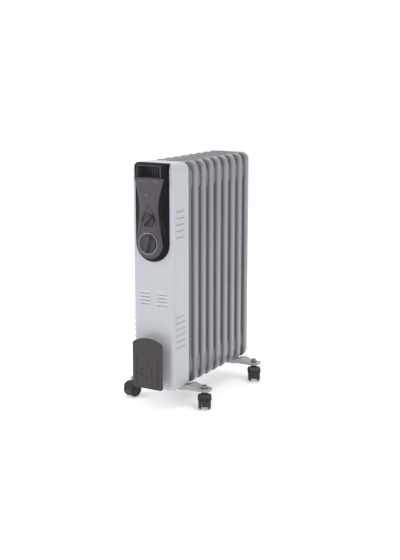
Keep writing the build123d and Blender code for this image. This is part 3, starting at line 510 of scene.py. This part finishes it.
def hourglass(top_half, top_z):
    """The fascia's outline: round below, narrow in the middle, wide at the top."""
    end = math.radians(FASCIA_ARC_END)
    right = [(FASCIA_ROUND * math.cos(a), THERMOSTAT_Z + FASCIA_ROUND * math.sin(a))
             for a in arc_steps(ARC_STEPS, -90, FASCIA_ARC_END)]
    side_x, side_z = right[-1]
    low_count = SIDE_STEPS // 2
    rise = WAIST_Z - side_z
    for i in range(1, low_count + 1):
        t = i / low_count
        x = hermite(t, side_x, WAIST_HALF, -math.tan(end) * rise * 0.9, 0.0)
        right.append((x, side_z + rise * t))
    high_count = SIDE_STEPS - low_count
    rise = top_z - WAIST_Z
    for i in range(1, high_count + 1):
        t = i / high_count
        x = hermite(t, WAIST_HALF, top_half, 0.0, (top_half - WAIST_HALF) * 1.15)
        right.append((x, WAIST_Z + rise * t))
    right += [(top_half, top_z + 0.0002 * i) for i in range(1, CORNER_STEPS + 1)]
    top = top_z + 0.0008
    right += [(top_half * (1 - i / TOP_STEPS), top) for i in range(1, TOP_STEPS + 1)]
    return mirrored(right)


def at_depth(outline, y):
    return [(x, y, z) for x, z in outline]


def mixed(outline_a, outline_b, share):
    """Part of the way from one outline to the other."""
    return [(xa + (xb - xa) * share, za + (zb - za) * share)
            for (xa, za), (xb, zb) in zip(outline_a, outline_b)]


def cut_box(piece, low, high, corner):
    """Cuts a box with rounded upright and level edges out of the piece."""
    centre, half = (low + high) / 2, (high - low) / 2
    outline = []
    for quarter in range(4):
        turn = quarter * 90
        cx = (half.x - corner) * (1 if quarter in (0, 3) else -1)
        cz = (half.z - corner) * (1 if quarter in (0, 1) else -1)
        outline += [(centre.x + cx + corner * math.cos(a), centre.z + cz + corner * math.sin(a))
                    for a in arc_steps(6, turn, turn + 90)]
    points, faces = stack_loops([at_depth(outline, low.y), at_depth(outline, high.y)], True, True)
    mesh = bpy.data.meshes.new("cutter")
    mesh.from_pydata(points, [], faces)
    work = bmesh.new()
    work.from_mesh(mesh)
    bmesh.ops.recalc_face_normals(work, faces=work.faces)
    work.to_mesh(mesh)
    work.free()
    cutter = bpy.data.objects.new("cutter", mesh)
    bpy.context.collection.objects.link(cutter)
    cut = piece.modifiers.new("cut", "BOOLEAN")
    cut.object = cutter
    cut.operation = "DIFFERENCE"
    cut.solver = "EXACT"
    apply_modifiers(piece)
    bpy.data.objects.remove(cutter)


def apply_modifiers(piece):
    """Makes the modified mesh the piece's own."""
    bpy.context.view_layer.update()
    evaluated = piece.evaluated_get(bpy.context.evaluated_depsgraph_get())
    mesh = bpy.data.meshes.new_from_object(evaluated)
    piece.modifiers.clear()
    piece.data = mesh
    mesh.shade_smooth()
    mesh.set_sharp_from_angle(angle=math.radians(SMOOTH_ANGLE))


def make_panel_base():
    """Gloss moulding: a rolled rim, then hollow slopes that rise to the hourglass."""
    inner = hourglass(SHOULDER_HALF, GRIP_LOW.z - 0.001)
    lift = GRIP_HIGH.z + GRIP_MARGIN - GRIP_LOW.z
    inner = [(x, z if z < GRIP_LOW.z - GRIP_MARGIN else z + lift) for x, z in inner]
    loops = [at_depth(panel_outline(0.0), HOUSING_FRONT + PANEL_SINK),
             at_depth(panel_outline(0.0), HOUSING_FRONT - RIM_DEPTH * 0.6),
             at_depth(panel_outline(0.0003), HOUSING_FRONT - RIM_DEPTH * 0.85),
             at_depth(panel_outline(0.0010), HOUSING_FRONT - RIM_DEPTH),
             at_depth(panel_outline(0.0020), HOUSING_FRONT - RIM_DEPTH * 1.05)]
    foot = panel_outline(0.0028)
    for step in range(1, SLOPE_STEPS + 1):
        share = step / SLOPE_STEPS
        depth = RIM_DEPTH + (HOUSING_FRONT - PANEL_FACE - RIM_DEPTH) * share ** SLOPE_POWER
        loops.append(at_depth(mixed(foot, inner, share), HOUSING_FRONT - depth))
    points, faces = stack_loops(loops, cap_first=True, cap_last=True)
    base = new_piece("panel_base", points, faces, PANEL_GLOSS, "root",
                     ["control_panel"])
    cut_box(base, Vector((GRIP_LOW.x, PANEL_FACE - 0.01, GRIP_LOW.z)),
            Vector((GRIP_HIGH.x, HOUSING_FRONT + 0.03, GRIP_HIGH.z)), GRIP_CUT_CORNER)


FASCIA_BEVEL = 0.0075
FASCIA_EDGE = 0.0022          # how far the fascia's edge stands off the panel
FASCIA_SETBACK = 0.0019       # the main surface is this far behind the foremost point
FASCIA_RINGS = 52
FASCIA_SMOOTH = 60.0          # degrees
TEARDROP_RISE = 0.0017
GROOVE_DEPTH = 0.0022         # groove round the teardrop
PLATE_RISE = 0.0013


def teardrop_depth(x, z):
    """How far a point is inside the teardrop that encloses both knobs; negative outside it."""
    big, small, length = 0.0335, 0.0035, 0.0905
    across, along = abs(x), z - THERMOSTAT_Z
    lean = (big - small) / length
    upright = math.sqrt(1 - lean * lean)
    place = -lean * across + upright * along
    if place < 0:
        return big - math.hypot(across, along)
    if place > upright * length:
        return small - math.hypot(across, along - length)
    return big - (upright * across + lean * along)


def trapezium_depth(x, z):
    """How far a point is inside the plate above the teardrop; negative outside it."""
    low_z, high_z, low_half, high_half = 0.538, 0.5905, 0.0165, 0.0325
    half = low_half + (high_half - low_half) * (z - low_z) / (high_z - low_z)
    return min(half - abs(x), z - low_z, high_z - z)


def fascia_relief(x, z):
    """Height of the fascia's pattern above its main surface."""
    drop = teardrop_depth(x, z)
    groove = GROOVE_DEPTH * math.exp(-(drop / 0.0020) ** 2)
    relief = TEARDROP_RISE * smooth_step(drop / 0.0026) - groove
    plate = trapezium_depth(x, z)
    return relief + PLATE_RISE * smooth_step(plate / 0.0022)


def make_fascia():
    """Satin hourglass with a broad bevel, the teardrop round the knobs and the plate above it."""
    outline = hourglass(SHOULDER_HALF, FASCIA_HIGH.z + 0.003)
    edge_y = PANEL_FACE - FASCIA_EDGE
    face_y = FASCIA_FACE + FASCIA_SETBACK
    loops = [at_depth(outline, PANEL_FACE + 0.001), at_depth(outline, edge_y + 0.0006)]
    spine_low, spine_high = THERMOSTAT_Z, FASCIA_HIGH.z - 0.004
    for ring in range(FASCIA_RINGS + 1):
        keep = 1 - ring / FASCIA_RINGS
        loop = []
        for x, z in outline:
            spine_z = min(max(z, spine_low), spine_high)
            reach = math.hypot(x, z - spine_z)
            depth = reach * (1 - keep)
            px, pz = x * keep, spine_z + (z - spine_z) * keep
            height = (edge_y - face_y) * smooth_step((depth + 0.0009) / FASCIA_BEVEL)
            fade = smooth_step((depth - 0.002) / 0.004)
            loop.append((px, edge_y - height - fade * fascia_relief(px, pz), pz))
        loops.append(loop)
    points, faces = stack_loops(loops, cap_first=True)
    new_piece("fascia_face", points, faces, FASCIA_SATIN, "root",
              ["panel_fascia"], FASCIA_SMOOTH)


# ---------------------------------------------------------------- knobs
SELECTOR_TILT = 45.0          # degrees clockwise from straight up, seen from the front, at rest
THERMOSTAT_TILT = 17.0
KNOB_SEGMENTS = 120
KNOB_FLUTES = 30
FLUTE_DEPTH = 0.00035
DISC_SHARE = 0.44             # the disc's thickness as a share of the knob's depth
BAR_SMOOTH = 50.0             # degrees


def stadium(half_length, half_width, steps=10):
    """A bar's outline with round ends, along the second axis."""
    straight = half_length - half_width
    upper = [(half_width * math.cos(a), straight + half_width * math.sin(a))
             for a in arc_steps(steps, 0, 180)]
    return upper + [(-u, -v) for u, v in upper]


def make_knob(node, body, tilt):
    """A round knob with a dished face, a fluted skirt and a finger bar."""
    low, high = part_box(node)
    radius = (high.z - low.z) / 2
    centre = Vector((0, high.y, (low.z + high.z) / 2))
    depth = high.y - low.y
    disc = depth * DISC_SHARE
    profile = [(0.92, 0.0), (1.0, 0.0004), (1.0, disc - 0.0012), (0.985, disc - 0.0003),
               (0.955, disc), (0.90, disc - 0.0002), (0.80, disc - 0.0024),
               (0.5, disc - 0.0030), (0.02, disc - 0.0030)]
    loops = []
    for share, along in profile:
        loop = []
        for i in range(KNOB_SEGMENTS):
            angle = 2 * math.pi * i / KNOB_SEGMENTS
            r = radius * share
            if share == 1.0:
                r -= FLUTE_DEPTH * (0.5 + 0.5 * math.cos(KNOB_FLUTES * angle))
            loop.append((centre.x + r * math.cos(angle), centre.y - along,
                         centre.z + r * math.sin(angle)))
        loops.append(loop)
    points, faces = stack_loops(loops, cap_first=True, cap_last=True)
    new_piece(f"{node}_disc", points, faces, KNOB_PLASTIC, body, [node])
    turn = math.radians(tilt)
    bar_profile = ((0.93, 0.30, disc - 0.0031), (0.93, 0.235, disc - 0.0012),
                   (0.93, 0.20, disc + 0.001), (0.925, 0.175, disc + 0.0026),
                   (0.915, 0.165, depth - 0.0012), (0.90, 0.150, depth - 0.0003),
                   (0.87, 0.115, depth), (0.60, 0.04, depth))
    loops = []
    for length, width, along in bar_profile:
        loop = []
        for u, v in stadium(radius * length, radius * width):
            x = u * math.cos(turn) + v * math.sin(turn)
            z = -u * math.sin(turn) + v * math.cos(turn)
            loop.append((centre.x + x, centre.y - along, centre.z + z))
        loops.append(loop)
    points, faces = stack_loops(loops, cap_first=True, cap_last=True)
    new_piece(f"{node}_bar", points, faces, KNOB_PLASTIC, body, [], BAR_SMOOTH)


# ---------------------------------------------------------------- stage, light and camera
CAMERA_AZIMUTH = 29.96        # degrees round from straight in front, towards +X
CAMERA_ELEVATION = 12.13
CAMERA_DISTANCE = 2.818
CAMERA_LENS = 68.2            # mm, on a 36 mm sensor along the picture's long side
AIM_OFFSET = Vector((0.0236, 0.0109, -0.0110))    # from the box's middle to where it aims
SENSOR_WIDTH = 36.0
FLOOR_HALF = 14.0


def make_camera():
    camera = bpy.data.objects.new("camera", bpy.data.cameras.new("camera"))
    bpy.context.collection.objects.link(camera)
    camera.data.sensor_width = SENSOR_WIDTH
    camera.data.lens = CAMERA_LENS
    azimuth, elevation = math.radians(CAMERA_AZIMUTH), math.radians(CAMERA_ELEVATION)
    away = Vector((math.sin(azimuth) * math.cos(elevation),
                   -math.cos(azimuth) * math.cos(elevation), math.sin(elevation)))
    aim = (CAD_LOW + CAD_HIGH) / 2 + AIM_OFFSET
    camera.location = aim + away * CAMERA_DISTANCE
    camera.rotation_euler = (-away).to_track_quat("-Z", "Y").to_euler()
    bpy.context.scene.camera = camera


def area_light(name, place, target, size, power):
    light = bpy.data.objects.new(name, bpy.data.lights.new(name, "AREA"))
    bpy.context.collection.objects.link(light)
    light.data.shape = "RECTANGLE"
    light.data.size, light.data.size_y = size
    light.data.energy = power
    light.location = Vector(place)
    light.rotation_euler = (Vector(place) - Vector(target)).to_track_quat("Z", "Y").to_euler()


def make_studio():
    """A pale floor, a bright even surround and soft lights."""
    points = [(-FLOOR_HALF, -FLOOR_HALF, 0), (FLOOR_HALF, -FLOOR_HALF, 0),
              (FLOOR_HALF, FLOOR_HALF, 0), (-FLOOR_HALF, FLOOR_HALF, 0)]
    mesh = bpy.data.meshes.new("floor")
    mesh.from_pydata(points, [], [(0, 1, 2, 3)])
    floor = bpy.data.objects.new("floor", mesh)
    bpy.context.collection.objects.link(floor)
    mesh.materials.append(coated("floor_paper", (0.93, 0.93, 0.93), 0.75, 0.01, 0.05, mottle=0.004,
                                 Emission_Strength=0.32))
    world = bpy.data.worlds.new("surround")
    bpy.context.scene.world = world
    world.use_nodes = True
    background = world.node_tree.nodes["Background"]
    background.inputs["Color"].default_value = (1.0, 1.0, 1.0, 1.0)
    tree = world.node_tree
    coords = tree.nodes.new("ShaderNodeTexCoord")
    facing = tree.nodes.new("ShaderNodeVectorMath")
    facing.operation = "DOT_PRODUCT"
    turn = math.radians(CAMERA_AZIMUTH)
    facing.inputs[1].default_value = (-math.sin(turn), math.cos(turn), 0.0)
    link(tree, coords, "Generated", facing, 0)
    spread_light = tree.nodes.new("ShaderNodeMapRange")
    spread_light.interpolation_type = "SMOOTHSTEP"
    for socket, value in (("From Min", 0.35), ("From Max", 0.93),
                          ("To Min", 0.66), ("To Max", 1.04)):
        spread_light.inputs[socket].default_value = value
    link(tree, facing, "Value", spread_light, "Value")
    link(tree, spread_light, "Result", background, "Strength")
    middle = (CAD_LOW + CAD_HIGH) / 2
    area_light("key", (-1.9, -2.4, 1.9), middle, (1.1, 1.5), 30)
    area_light("side", (2.6, -1.9, 1.2), middle, (0.8, 2.0), 22)
    area_light("top", (0.3, 0.4, 3.2), middle, (2.6, 2.6), 34)
    bpy.context.scene.view_settings.view_transform = "Standard"


# ---------------------------------------------------------------- build
finish_frame()
make_fins()
make_necks()
make_panel_base()
make_fascia()
make_knob("selector_knob", "selector_dial", SELECTOR_TILT)
make_knob("thermostat_knob", "thermostat_dial", THERMOSTAT_TILT)
make_camera()
make_studio()
